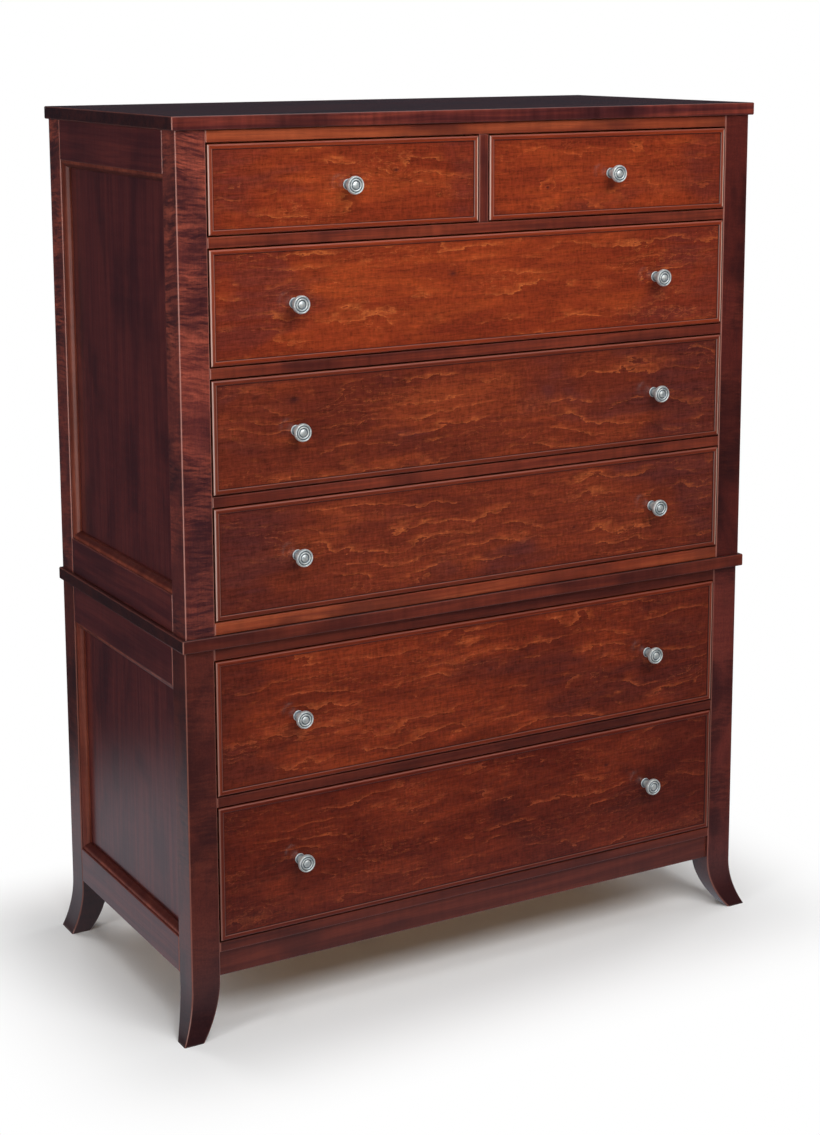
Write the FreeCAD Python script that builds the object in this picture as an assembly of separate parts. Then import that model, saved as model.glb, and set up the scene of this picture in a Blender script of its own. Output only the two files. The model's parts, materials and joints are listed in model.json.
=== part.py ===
import FreeCAD, Part
import math
import os

# Chest on chest in solid timber, in millimetres.
# +Z is up, the drawers face -Y, and the origin is under the middle of the whole chest, at floor level.
# Every length is written once here; the rest of the file works places out from these names.

V = FreeCAD.Vector

# Carcase
CASE_WIDTH = 1120.0             # across the outer faces of the posts, both cases
UPPER_CASE_DEPTH = 554.0        # front face of the upper posts to the back
LOWER_SETBACK = 5.0             # lower front face behind the upper front face
POST_WIDTH = 52.0               # along X
POST_DEPTH = 52.0               # along Y, also the depth of the front rails
EDGE_RADIUS = 2.5               # eased arrises of posts and slabs
RAIL_EDGE_RADIUS = 2.0          # eased front edges of the rails

# Slabs
TOP_SLAB_THICKNESS = 22.0
TOP_OVERHANG_SIDE = 7.5
TOP_OVERHANG_FRONT = 6.5
WAIST_SLAB_THICKNESS = 22.0
WAIST_OVERHANG_SIDE = 7.5
WAIST_OVERHANG_FRONT = 5.5

# Front members, from the floor up
FLOOR_CLEARANCE = 100.0         # under the apron and the lower side rails
APRON_HEIGHT = 44.0
APRON_THICKNESS = 22.0
APRON_RECESS = 6.0              # apron face behind the ledge
LEDGE_HEIGHT = 17.0
SIXTH_OPENING_HEIGHT = 235.0
LOWER_RAIL_HEIGHT = 17.0
FIFTH_OPENING_HEIGHT = 233.0
LOWER_TOP_RAIL_HEIGHT = 22.0
UPPER_BOTTOM_RAIL_HEIGHT = 21.0
MIDDLE_OPENING_HEIGHT = 190.0   # second, third and fourth drawers
UPPER_RAIL_HEIGHT = 18.0
SMALL_OPENING_HEIGHT = 147.0
UPPER_TOP_RAIL_HEIGHT = 20.0
DIVIDER_WIDTH = 18.0

# Legs, flared only below the apron
FLARE_SIDE = 23.5               # foot beyond the post, sideways
FLARE_FRONT = 18.0              # front foot beyond the post, forwards
FLARE_DROP = 10.0               # outer flare starts this far below the apron
INNER_FLARE = 38.5              # how far the inner face follows it
INNER_FLARE_DROP = 1.0          # inner curve starts this far below the apron

# Sides
SIDE_RAIL_THICKNESS = 28.0
SIDE_TOP_RAIL_HEIGHT = 70.0
SIDE_BOTTOM_RAIL_HEIGHT = 64.0
PANEL_RECESS = 15.0             # outer face of the side panel behind the posts
PANEL_THICKNESS = 8.0           # also the thickness of the side rails' tenons
PANEL_TONGUE = 6.0              # panel edge inside its groove
GROOVE_DEPTH = 7.0
MOULDING_WIDTH = 13.0
MOULDING_HEIGHT = 12.0
MOULDING_FLAT = 2.0             # flat along its outer edge
MOULDING_LIP = 3.0              # upright edge against the panel
MOULDING_BULGE = 2.0            # rise of its rounded face above a straight slope

# Joints in the carcase
TENON_SHOULDER = 10.0           # above and below the tenons of wide members
THIN_RAIL_SHOULDER = 4.5        # above and below the tenons of the drawer rails
TENON_MARGIN = 7.0              # in from the front and back faces of a front member
SIDE_TENON_LENGTH = 25.0
TENON_WALL = 4.0                # wood in the posts between front or rear tenons and side tenons
DIVIDER_TENON_LENGTH = 4.0
DIVIDER_TENON_MARGIN = 3.0      # in from the divider's two sides

# Back
BACK_PANEL_THICKNESS = 6.0
BACK_PANEL_LAP = 10.0           # rabbet in the rear posts
REAR_RAIL_THICKNESS = 20.0
REAR_RAIL_HEIGHT = 60.0
REAR_TENON_MARGIN = 5.0         # in from the front and back faces of a rear rail

# Drawer runners
RUNNER_REACH = 20.0             # ledge that carries the drawer side, inboard of the posts
GUIDE_HEIGHT = 22.0             # side guide above the runner
RUNNER_TENON_LENGTH = 12.0
RUNNER_TENON_HEIGHT = 8.0
RUNNER_TENON_MARGIN = 3.0
SIDE_CLEARANCE = 0.5            # drawer side to guide
RUN_CLEARANCE = 0.3             # drawer side to runner

# Drawers
DRAWER_PROUD = 2.0              # drawer face in front of the rails
GAP_SIDE = 2.0
GAP_TOP = 2.2
GAP_BOTTOM = 2.0
DRAWER_REAR_GAP = 30.0          # behind a shut drawer, to the rear rails
FRONT_THICKNESS = 20.0
BEAD_WIDTH = 8.5                # raised border round each drawer front
BEAD_DEPTH = 2.5
BEAD_OUTER_RADIUS = 4.0
BEAD_INNER_RADIUS = 2.2
BEAD_STEP = 0.2                 # least upright wall left under the rounded inner edge
SIDE_THICKNESS = 12.0
SIDE_DROP = 6.0                 # drawer side below the top of the front
DRAWER_BACK_THICKNESS = 12.0
BACK_DROP = 12.0
BACK_INSET = 6.0                # drawer back in from the ends of the sides
BACK_HOUSING = 4.0
BOTTOM_THICKNESS = 6.0
BOTTOM_RAISE = 10.0             # underside of the bottom above the drawer's lower edge
BOTTOM_HOUSING = 6.0
TAIL_LENGTH = 14.0              # half-blind dovetails
TAIL_PITCH = 44.0
TAIL_SHARE = 0.62               # tail width over pitch, at its wide end
TAIL_SLOPE = 7.0                # 1 in 7
STOP_WIDTH = 40.0
STOP_DEPTH = 14.0
STOP_HEIGHT = 8.0
STOP_GAP = 0.3
STOP_FROM_CORNER = 60.0

# Knobs
KNOB_RADIUS = 15.0
KNOB_PROJECTION = 30.0
KNOB_BASE_RADIUS = 9.0
KNOB_BASE_THICKNESS = 2.5
KNOB_NECK_RADIUS = 6.8          # where the stem leaves the base
KNOB_WAIST_RADIUS = 5.5
KNOB_WAIST_HEIGHT = 10.0
KNOB_RIM_THICKNESS = 6.0
KNOB_RIM_LIP = 1.0              # rim beyond the stem's flare
KNOB_OUTER_GROOVE = 11.2        # radii of the two grooves in its face
KNOB_INNER_GROOVE = 6.8
KNOB_GROOVE_DEPTH = 2.0
KNOB_RING_DROP = 0.4            # rim and ring below the middle dome
KNOB_SPACING = 358.0            # centre of the chest to each knob of a full-width drawer
KNOB_SCREW_RADIUS = 2.0
KNOB_SCREW_DEPTH = 10.0         # thread inside the knob
SCREW_HEAD_RADIUS = 5.0
SCREW_HEAD_HEIGHT = 2.5
SCREW_CLEARANCE = 0.15

# Screws that hold the slabs
SLAB_SCREW_RADIUS = 2.0
SLAB_SCREW_HEAD_RADIUS = 4.0
SLAB_SCREW_HEAD_HEIGHT = 3.0
SLAB_SCREW_BITE = 14.0          # thread inside the slab
SLAB_SCREW_FROM_POST = 70.0
SLAB_SCREW_STAGGER = 40.0       # so that screws from above and below miss each other

TOLERANCE = 1e-6                # coordinates nearer than this are equal
OVERRUN = 10.0                  # how far a trimming shape passes the faces that it leaves alone

# Heights
apron_bottom = FLOOR_CLEARANCE
ledge_bottom = apron_bottom + APRON_HEIGHT
sixth_bottom = ledge_bottom + LEDGE_HEIGHT
lower_rail_bottom = sixth_bottom + SIXTH_OPENING_HEIGHT
fifth_bottom = lower_rail_bottom + LOWER_RAIL_HEIGHT
lower_top_rail_bottom = fifth_bottom + FIFTH_OPENING_HEIGHT
waist_bottom = lower_top_rail_bottom + LOWER_TOP_RAIL_HEIGHT
waist_top = waist_bottom + WAIST_SLAB_THICKNESS
fourth_bottom = waist_top + UPPER_BOTTOM_RAIL_HEIGHT
third_rail_bottom = fourth_bottom + MIDDLE_OPENING_HEIGHT
third_bottom = third_rail_bottom + UPPER_RAIL_HEIGHT
second_rail_bottom = third_bottom + MIDDLE_OPENING_HEIGHT
second_bottom = second_rail_bottom + UPPER_RAIL_HEIGHT
first_rail_bottom = second_bottom + MIDDLE_OPENING_HEIGHT
small_bottom = first_rail_bottom + UPPER_RAIL_HEIGHT
upper_top_rail_bottom = small_bottom + SMALL_OPENING_HEIGHT
case_top = upper_top_rail_bottom + UPPER_TOP_RAIL_HEIGHT
overall_height = case_top + TOP_SLAB_THICKNESS
flare_height = apron_bottom - FLARE_DROP
inner_flare_height = apron_bottom - INNER_FLARE_DROP

# Depths: the knobs and the back are equally far from the origin
knob_reach = DRAWER_PROUD + KNOB_PROJECTION - BEAD_DEPTH
back = (UPPER_CASE_DEPTH + knob_reach) / 2
upper_front = back - UPPER_CASE_DEPTH
rear_rail_face = back - BACK_PANEL_THICKNESS - REAR_RAIL_THICKNESS
drawer_rear = rear_rail_face - DRAWER_REAR_GAP
lower_front = upper_front + LOWER_SETBACK

# Widths
case_side = CASE_WIDTH / 2
post_inside = case_side - POST_WIDTH
panel_outside = case_side - PANEL_RECESS
panel_inside = panel_outside - PANEL_THICKNESS
tenon_end = panel_inside - TENON_WALL
side_rail_inside = case_side - SIDE_RAIL_THICKNESS


def box(x0, x1, y0, y1, z0, z1):
    return Part.makeBox(x1 - x0, y1 - y0, z1 - z0, V(x0, y0, z0))


def mirrored(shape):
    """The same piece on the other side of the chest."""
    return shape.mirror(V(0, 0, 0), V(1, 0, 0))


def joined(*shapes):
    """One solid from shapes that meet, without the seams between them."""
    return shapes[0].fuse(list(shapes[1:])).removeSplitter()


def polygon(*points):
    return Part.Face(Part.makePolygon(list(points) + [points[0]]))


def lies_at(edge, axis, value):
    return all(abs(getattr(v.Point, axis) - value) < TOLERANCE for v in edge.Vertexes)


def eased(shape, radius, axis, value):
    """Rounds every edge that lies in the plane axis = value."""
    return shape.makeFillet(radius, [edge for edge in shape.Edges if lies_at(edge, axis, value)])


def eased_corners(shape, radius):
    """Rounds every edge that isn't level: the arrises of a post, a leg or a slab."""
    edges = [e for e in shape.Edges if abs(e.Vertexes[0].Z - e.Vertexes[-1].Z) > TOLERANCE]
    return shape.makeFillet(radius, edges)


def export(name, *solids):
    """Writes one sub-part, which may be several separate solids."""
    shape = solids[0] if len(solids) == 1 else Part.makeCompound(list(solids))
    for solid in shape.Solids:
        if not solid.isValid() or solid.Volume <= 0:
            raise ValueError(name + " holds a faulty solid")
    shape.exportStep(os.path.join("parts", name + ".step"))
    print(name, len(shape.Solids), "solids", round(shape.Volume / 1000), "cm3")


def export_pair(name, left):
    """Writes a left-hand sub-part and its mirror image."""
    export(name + "_left", *left.Solids)
    export(name + "_right", *mirrored(left).Solids)


# ---- slabs ----

def slab(front_overhang, side_overhang, bottom, thickness):
    """A flat slab, flush with the back and over the case at the front and sides."""
    half = case_side + side_overhang
    top = bottom + thickness
    board = box(-half, half, upper_front - front_overhang, back, bottom, top)
    board = eased_corners(board, EDGE_RADIUS)
    board = eased(board, EDGE_RADIUS, "z", top)
    return eased(board, EDGE_RADIUS, "z", bottom)


# ---- front rails, apron and divider ----

def front_member(front, bottom, height, thickness, shoulder):
    """A full-width member between the front posts, with a tenon into each."""
    rear = front + thickness
    rail = box(-post_inside, post_inside, front, rear, bottom, bottom + height)
    rail = eased(rail, RAIL_EDGE_RADIUS, "y", front)
    tenon = box(-tenon_end, tenon_end, front + TENON_MARGIN, rear - TENON_MARGIN,
                bottom + shoulder, bottom + height - shoulder)
    return joined(rail, tenon)


def drawer_rail(front, bottom, height):
    return front_member(front, bottom, height, POST_DEPTH, THIN_RAIL_SHOULDER)


def small_drawer_divider():
    """The upright between the two small drawers, with a stub tenon at each end."""
    half = DIVIDER_WIDTH / 2
    rear = upper_front + POST_DEPTH
    upright = box(-half, half, upper_front, rear, small_bottom, upper_top_rail_bottom)
    upright = eased(upright, RAIL_EDGE_RADIUS, "y", upper_front)
    cheek = half - DIVIDER_TENON_MARGIN
    tenon = box(-cheek, cheek, upper_front + TENON_MARGIN, rear - TENON_MARGIN,
                small_bottom - DIVIDER_TENON_LENGTH, upper_top_rail_bottom + DIVIDER_TENON_LENGTH)
    return joined(upright, tenon)


# ---- sides ----

class Side:
    """The left side of one case: two rails, a panel in grooves and the moulding round the panel."""

    def __init__(self, front, bottom, top):
        self.y0 = front + POST_DEPTH
        self.y1 = back - POST_DEPTH
        self.bottom = bottom
        self.top = top
        self.z0 = bottom + SIDE_BOTTOM_RAIL_HEIGHT
        self.z1 = top - SIDE_TOP_RAIL_HEIGHT

    def sheet(self, margin):
        """A board in the plane of the panel, larger than the opening by margin all round."""
        return box(-panel_outside, -panel_inside, self.y0 - margin, self.y1 + margin,
                   self.z0 - margin, self.z1 + margin)

    def groove(self):
        return self.sheet(GROOVE_DEPTH)

    def panel(self):
        return self.sheet(PANEL_TONGUE)

    def rail(self, bottom, top):
        rail = box(-case_side, -side_rail_inside, self.y0, self.y1, bottom, top)
        rail = eased(rail, RAIL_EDGE_RADIUS, "x", -case_side)
        tenon = box(-panel_outside, -panel_inside, self.y0 - SIDE_TENON_LENGTH, self.y1 + SIDE_TENON_LENGTH,
                    bottom + TENON_SHOULDER, top - TENON_SHOULDER)
        return joined(rail, tenon).cut(self.groove())

    def rails(self):
        return Part.makeCompound([self.rail(self.bottom, self.z0), self.rail(self.z1, self.top)])

    def mouldings(self):
        """Four mitred sticks on the panel, against the edges of the opening."""
        corners = [V(-panel_outside, self.y0, self.z0), V(-panel_outside, self.y1, self.z0),
                   V(-panel_outside, self.y1, self.z1), V(-panel_outside, self.y0, self.z1)]
        sticks = [moulding(corners[i], corners[(i + 1) % 4], corners[(i + 2) % 4]) for i in range(4)]
        return Part.makeCompound(sticks)


def moulding(start, end, beyond):
    """A stick from corner to corner of the opening; beyond is the next corner, which tells the inward way."""
    out = V(-1, 0, 0)
    inward = (beyond - end).normalize()
    along = (end - start).normalize()

    def at(across, height):
        return start + inward * across + out * height

    slope = V(MOULDING_WIDTH - MOULDING_FLAT, MOULDING_HEIGHT - MOULDING_LIP, 0)
    middle = ((MOULDING_FLAT + MOULDING_WIDTH) / 2 + MOULDING_BULGE * slope.y / slope.Length,
              (MOULDING_HEIGHT + MOULDING_LIP) / 2 + MOULDING_BULGE * slope.x / slope.Length)
    shoulder = at(MOULDING_FLAT, MOULDING_HEIGHT)
    lip = at(MOULDING_WIDTH, MOULDING_LIP)
    outline = Part.Wire([
        Part.makeLine(at(0, 0), at(0, MOULDING_HEIGHT)),
        Part.makeLine(at(0, MOULDING_HEIGHT), shoulder),
        Part.Arc(shoulder, at(*middle), lip).toShape(),
        Part.makeLine(lip, at(MOULDING_WIDTH, 0)),
        Part.makeLine(at(MOULDING_WIDTH, 0), at(0, 0)),
    ])
    stick = Part.Face(outline).extrude(end - start)
    mitre = polygon(start, end, end + (inward - along) * MOULDING_WIDTH,
                    start + (inward + along) * MOULDING_WIDTH)
    return stick.common(mitre.extrude(out * MOULDING_HEIGHT)).Solids[0]


# ---- back ----

def rear_rail(bottom, height, shoulder):
    """A rear rail between the rear posts, with a tenon into each."""
    rear = back - BACK_PANEL_THICKNESS
    rail = box(-post_inside, post_inside, rear_rail_face, rear, bottom, bottom + height)
    tenon = box(-tenon_end, tenon_end, rear_rail_face + REAR_TENON_MARGIN, rear - REAR_TENON_MARGIN,
                bottom + shoulder, bottom + height - shoulder)
    return joined(rail, tenon)


def back_panel(bottom, top):
    reach = post_inside + BACK_PANEL_LAP
    return box(-reach, reach, back - BACK_PANEL_THICKNESS, back, bottom, top)


# ---- runners ----

def runner(front, bottom, height):
    """A left-hand runner behind a drawer rail: a ledge for the drawer side and a guide beside it."""
    ledge = kicker(front, bottom, height, GAP_BOTTOM - RUN_CLEARANCE)
    top = bottom + height + GAP_BOTTOM - RUN_CLEARANCE
    guide = box(-side_rail_inside, -post_inside + GAP_SIDE - SIDE_CLEARANCE,
                front + POST_DEPTH, back - POST_DEPTH, top, top + GUIDE_HEIGHT)
    return joined(ledge, guide)


def kicker(front, bottom, height, rise=0.0):
    """A left-hand strip from the front rail to the rear post, which stops a drawer from tipping."""
    y0 = front + POST_DEPTH
    y1 = back - POST_DEPTH
    inner = -post_inside + RUNNER_REACH
    strip = box(-side_rail_inside, inner, y0, y1, bottom, bottom + height + rise)
    z0 = bottom + (height - RUNNER_TENON_HEIGHT) / 2
    z1 = z0 + RUNNER_TENON_HEIGHT
    front_tenon = box(-post_inside + RUNNER_TENON_MARGIN, inner - RUNNER_TENON_MARGIN,
                      y0 - RUNNER_TENON_LENGTH, y0, z0, z1)
    rear_tenon = box(-side_rail_inside + RUNNER_TENON_MARGIN, -post_inside - RUNNER_TENON_MARGIN,
                     y1, y1 + RUNNER_TENON_LENGTH, z0, z1)
    return joined(strip, front_tenon, rear_tenon)


def centre_strip(bottom, height, rise=0.0):
    """A strip on the centre line, from the front rail to a rear rail."""
    half = DIVIDER_WIDTH / 2 + RUNNER_REACH
    y0 = upper_front + POST_DEPTH
    strip = box(-half, half, y0, rear_rail_face, bottom, bottom + height + rise)
    cheek = half - RUNNER_TENON_MARGIN
    z0 = bottom + (height - RUNNER_TENON_HEIGHT) / 2
    tenon = box(-cheek, cheek, y0 - RUNNER_TENON_LENGTH, rear_rail_face + RUNNER_TENON_LENGTH,
                z0, z0 + RUNNER_TENON_HEIGHT)
    return joined(strip, tenon)


def centre_runner():
    """Carries the inner sides of both small drawers."""
    rise = GAP_BOTTOM - RUN_CLEARANCE
    top = small_bottom + rise
    half = DIVIDER_WIDTH / 2 + GAP_SIDE - SIDE_CLEARANCE
    guide = box(-half, half, upper_front + POST_DEPTH, rear_rail_face, top, top + GUIDE_HEIGHT)
    return joined(centre_strip(first_rail_bottom, UPPER_RAIL_HEIGHT, rise), guide)


# ---- posts and legs ----

def upper_post(y0):
    post = box(-case_side, -post_inside, y0, y0 + POST_DEPTH, waist_top, case_top)
    return eased_corners(post, EDGE_RADIUS)


def flare_arc(start, drop, offset):
    """A circular arc that leaves start straight down and ends offset away, drop lower."""
    width = offset.Length
    radius = (width ** 2 + drop ** 2) / (2 * width)
    half_turn = math.asin(drop / radius) / 2
    sideways = offset * (radius * (1 - math.cos(half_turn)) / width)
    middle = start + sideways + V(0, 0, -radius * math.sin(half_turn))
    return Part.Arc(start, middle, start + offset + V(0, 0, -drop)).toShape()


def flared_profile(outer, inner, outward, flare):
    """The upright outline of a leg between two faces, both of which curve outward at the foot."""
    rise = V(0, 0, waist_bottom)
    outer_arc = flare_arc(outer + V(0, 0, flare_height), flare_height, outward * flare)
    inner_arc = flare_arc(inner + V(0, 0, inner_flare_height), inner_flare_height, outward * INNER_FLARE)
    return Part.Face(Part.Wire([
        Part.makeLine(outer + rise, outer + V(0, 0, flare_height)),
        outer_arc,
        Part.makeLine(outer + outward * flare, inner + outward * INNER_FLARE),
        inner_arc,
        Part.makeLine(inner + V(0, 0, inner_flare_height), inner + rise),
        Part.makeLine(inner + rise, outer + rise),
    ]))


def leg(y0, flared_forward):
    """A left leg: a post above, and a foot that curves out to the side, and at the front forwards too."""
    extra = FLARE_FRONT + OVERRUN if flared_forward else 0.0
    seen_from_front = flared_profile(V(-case_side, y0 - extra, 0), V(-post_inside, y0 - extra, 0),
                                     V(-1, 0, 0), FLARE_SIDE)
    blank = seen_from_front.extrude(V(0, POST_DEPTH + extra, 0))
    if flared_forward:
        outer = V(-case_side - FLARE_SIDE - OVERRUN, y0, 0)
        seen_from_side = flared_profile(outer, outer + V(0, POST_DEPTH, 0), V(0, -1, 0), FLARE_FRONT)
        across = V(FLARE_SIDE + POST_WIDTH + 2 * OVERRUN, 0, 0)
        blank = blank.common(seen_from_side.extrude(across)).Solids[0]
    return eased_corners(blank, EDGE_RADIUS)


# ---- drawers ----

class Drawer:
    """A drawer in its opening: a front with a raised bead, a dovetailed box, and knobs with screws."""

    def __init__(self, opening, bottom, height, case_front, knobs):
        self.x0 = opening[0] + GAP_SIDE
        self.x1 = opening[1] - GAP_SIDE
        self.z0 = bottom + GAP_BOTTOM
        self.z1 = bottom + height - GAP_TOP
        self.face = case_front - DRAWER_PROUD
        self.inner_face = self.face + FRONT_THICKNESS
        self.rear = drawer_rear
        self.side_top = self.z1 - SIDE_DROP
        self.rail_top = bottom
        self.knobs = [V(x, self.face + BEAD_DEPTH, (self.z0 + self.z1) / 2) for x in knobs]

    def bottom_board(self):
        inset = SIDE_THICKNESS - BOTTOM_HOUSING
        z0 = self.z0 + BOTTOM_RAISE
        return box(self.x0 + inset, self.x1 - inset, self.inner_face - BOTTOM_HOUSING, self.rear,
                   z0, z0 + BOTTOM_THICKNESS)

    def back_board(self):
        inset = SIDE_THICKNESS - BACK_HOUSING
        rear = self.rear - BACK_INSET
        return box(self.x0 + inset, self.x1 - inset, rear - DRAWER_BACK_THICKNESS, rear,
                   self.z0 + BOTTOM_RAISE + BOTTOM_THICKNESS, self.z1 - BACK_DROP)

    def tails(self, x0):
        """The half-blind dovetails at the front of one side."""
        count = round((self.side_top - self.z0) / TAIL_PITCH)
        pitch = (self.side_top - self.z0) / count
        wide = pitch * TAIL_SHARE / 2
        narrow = wide - TAIL_LENGTH / TAIL_SLOPE
        tip = self.inner_face - TAIL_LENGTH
        solids = []
        for i in range(count):
            z = self.z0 + pitch * (i + 0.5)
            outline = polygon(V(x0, tip, z - wide), V(x0, tip, z + wide),
                              V(x0, self.inner_face, z + narrow), V(x0, self.inner_face, z - narrow))
            solids.append(outline.extrude(V(SIDE_THICKNESS, 0, 0)))
        return solids

    def side(self, x0):
        board = box(x0, x0 + SIDE_THICKNESS, self.inner_face, self.rear, self.z0, self.side_top)
        return joined(board, *self.tails(x0)).cut(self.bottom_board()).cut(self.back_board())

    def sides(self):
        return [self.side(self.x0), self.side(self.x1 - SIDE_THICKNESS)]

    def box_solids(self):
        return self.sides() + [self.back_board(), self.bottom_board()]

    def front(self):
        board = box(self.x0, self.x1, self.face, self.inner_face, self.z0, self.z1)
        board = eased(board, BEAD_OUTER_RADIUS, "y", self.face)
        board = beaded(board, self.x0 + BEAD_WIDTH, self.x1 - BEAD_WIDTH, self.face,
                       self.z0 + BEAD_WIDTH, self.z1 - BEAD_WIDTH)
        sockets = self.tails(self.x0) + self.tails(self.x1 - SIDE_THICKNESS)
        holes = [screw(self, knob, SCREW_CLEARANCE) for knob in self.knobs]
        return board.cut(sockets + [self.bottom_board()] + holes)

    def knob_solids(self):
        solids = []
        for place in self.knobs:
            turned = knob_body().translated(place)
            solids.append(turned.cut(screw(self, place, SCREW_CLEARANCE)))
            solids.append(screw(self, place, 0.0))
        return solids

    def stops(self):
        """Two blocks on the rail that the front meets when the drawer is shut."""
        y0 = self.inner_face + STOP_GAP
        places = (self.x0 + STOP_FROM_CORNER, self.x1 - STOP_FROM_CORNER)
        return [box(x - STOP_WIDTH / 2, x + STOP_WIDTH / 2, y0, y0 + STOP_DEPTH,
                    self.rail_top, self.rail_top + STOP_HEIGHT) for x in places]


def beaded(board, x0, x1, face, z0, z1):
    """Sinks the field of a drawer front and rounds the inner edge of the bead left round it."""
    board = board.cut(box(x0, x1, face, face + BEAD_DEPTH, z0, z1))
    rim = []
    for edge in board.Edges:
        b = edge.BoundBox
        in_face = abs(b.YMin - face) < TOLERANCE and abs(b.YMax - face) < TOLERANCE
        inside = min(b.XMin - x0, x1 - b.XMax, b.ZMin - z0, z1 - b.ZMax) > -TOLERANCE
        if in_face and inside:
            rim.append(edge)
    return board.makeFillet(min(BEAD_INNER_RADIUS, BEAD_DEPTH - BEAD_STEP), rim)


def screw(drawer, place, clearance):
    """A knob's screw from inside the drawer; with a clearance it is the hole for that screw."""
    radius = KNOB_SCREW_RADIUS + clearance
    tip = place.y - KNOB_SCREW_DEPTH - clearance
    shank = Part.makeCylinder(radius, drawer.inner_face - tip, V(place.x, tip, place.z), V(0, 1, 0))
    if clearance:
        return shank
    seat = V(place.x, drawer.inner_face, place.z)
    head = Part.makeCylinder(SCREW_HEAD_RADIUS, SCREW_HEAD_HEIGHT, seat, V(0, 1, 0))
    return joined(shank, head)


def knob_body():
    """A turned knob on the origin, pointing to -Y: base, waisted stem, and a face of rim, ring and dome."""
    top = KNOB_PROJECTION
    ring_top = top - KNOB_RING_DROP
    groove = top - KNOB_GROOVE_DEPTH
    rim = top - KNOB_RIM_THICKNESS
    dome_radius = (KNOB_INNER_GROOVE ** 2 + KNOB_GROOVE_DEPTH ** 2) / (2 * KNOB_GROOVE_DEPTH)
    dome_turn = math.asin(KNOB_INNER_GROOVE / dome_radius) / 2

    def at(radius, height):
        return V(radius, -height, 0)

    stem = at(KNOB_NECK_RADIUS, KNOB_BASE_THICKNESS)
    flare = at(KNOB_RADIUS - KNOB_RIM_LIP, rim)
    edge = at(KNOB_RADIUS, rim + KNOB_RIM_LIP)
    rim_top = at((KNOB_RADIUS + KNOB_OUTER_GROOVE) / 2, ring_top)
    outer_groove = at(KNOB_OUTER_GROOVE, groove)
    middle_ring = at((KNOB_OUTER_GROOVE + KNOB_INNER_GROOVE) / 2, ring_top)
    inner_groove = at(KNOB_INNER_GROOVE, groove)
    dome = at(dome_radius * math.sin(dome_turn), top - dome_radius * (1 - math.cos(dome_turn)))
    outline = Part.Wire([
        Part.makeLine(at(0, 0), at(KNOB_BASE_RADIUS, 0)),
        Part.makeLine(at(KNOB_BASE_RADIUS, 0), at(KNOB_BASE_RADIUS, KNOB_BASE_THICKNESS)),
        Part.makeLine(at(KNOB_BASE_RADIUS, KNOB_BASE_THICKNESS), stem),
        Part.Arc(stem, at(KNOB_WAIST_RADIUS, KNOB_WAIST_HEIGHT), flare).toShape(),
        Part.makeLine(flare, edge),
        Part.Arc(edge, rim_top, outer_groove).toShape(),
        Part.Arc(outer_groove, middle_ring, inner_groove).toShape(),
        Part.Arc(inner_groove, dome, at(0, top)).toShape(),
        Part.makeLine(at(0, top), at(0, 0)),
    ])
    return Part.Face(outline).revolve(V(0, 0, 0), V(0, 1, 0), 360).Solids[0]


# ---- screws into the slabs ----

def slab_screw(x, y, head, tip, clearance):
    """A countersunk screw along Z from head to tip; with a clearance it is the hole for that screw."""
    way = 1 if tip > head else -1
    direction = V(0, 0, way)
    seat = V(x, y, head)
    radius = SLAB_SCREW_RADIUS + clearance
    head_radius = SLAB_SCREW_HEAD_RADIUS + clearance
    cone = Part.makeCone(head_radius, radius, SLAB_SCREW_HEAD_HEIGHT, seat, direction)
    shank = Part.makeCylinder(radius, abs(tip - head) + clearance, seat, direction)
    return joined(cone, shank)


def slab_screws(clearance):
    """Left-hand screws: up into the top slab, down into the waist slab and up into the waist slab."""
    x = -post_inside + RUNNER_REACH / 2
    runner_top = fourth_bottom + GAP_BOTTOM - RUN_CLEARANCE
    runs = [(upper_front, SLAB_SCREW_FROM_POST, upper_top_rail_bottom, case_top + SLAB_SCREW_BITE),
            (upper_front, SLAB_SCREW_FROM_POST, runner_top, waist_top - SLAB_SCREW_BITE),
            (lower_front, SLAB_SCREW_FROM_POST + SLAB_SCREW_STAGGER, lower_top_rail_bottom,
             waist_bottom + SLAB_SCREW_BITE)]
    screws = []
    for front, distance, head, tip in runs:
        screws.append(slab_screw(x, front + POST_DEPTH + distance, head, tip, clearance))
        screws.append(slab_screw(x, back - POST_DEPTH - distance, head, tip, clearance))
    return screws


# ---- assembly ----

def with_sockets(piece, *others):
    """The piece, cut where the tenons, tongues and screws of others enter it."""
    return piece.cut(list(others))


def both(shapes):
    return shapes + [mirrored(shape) for shape in shapes]


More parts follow.
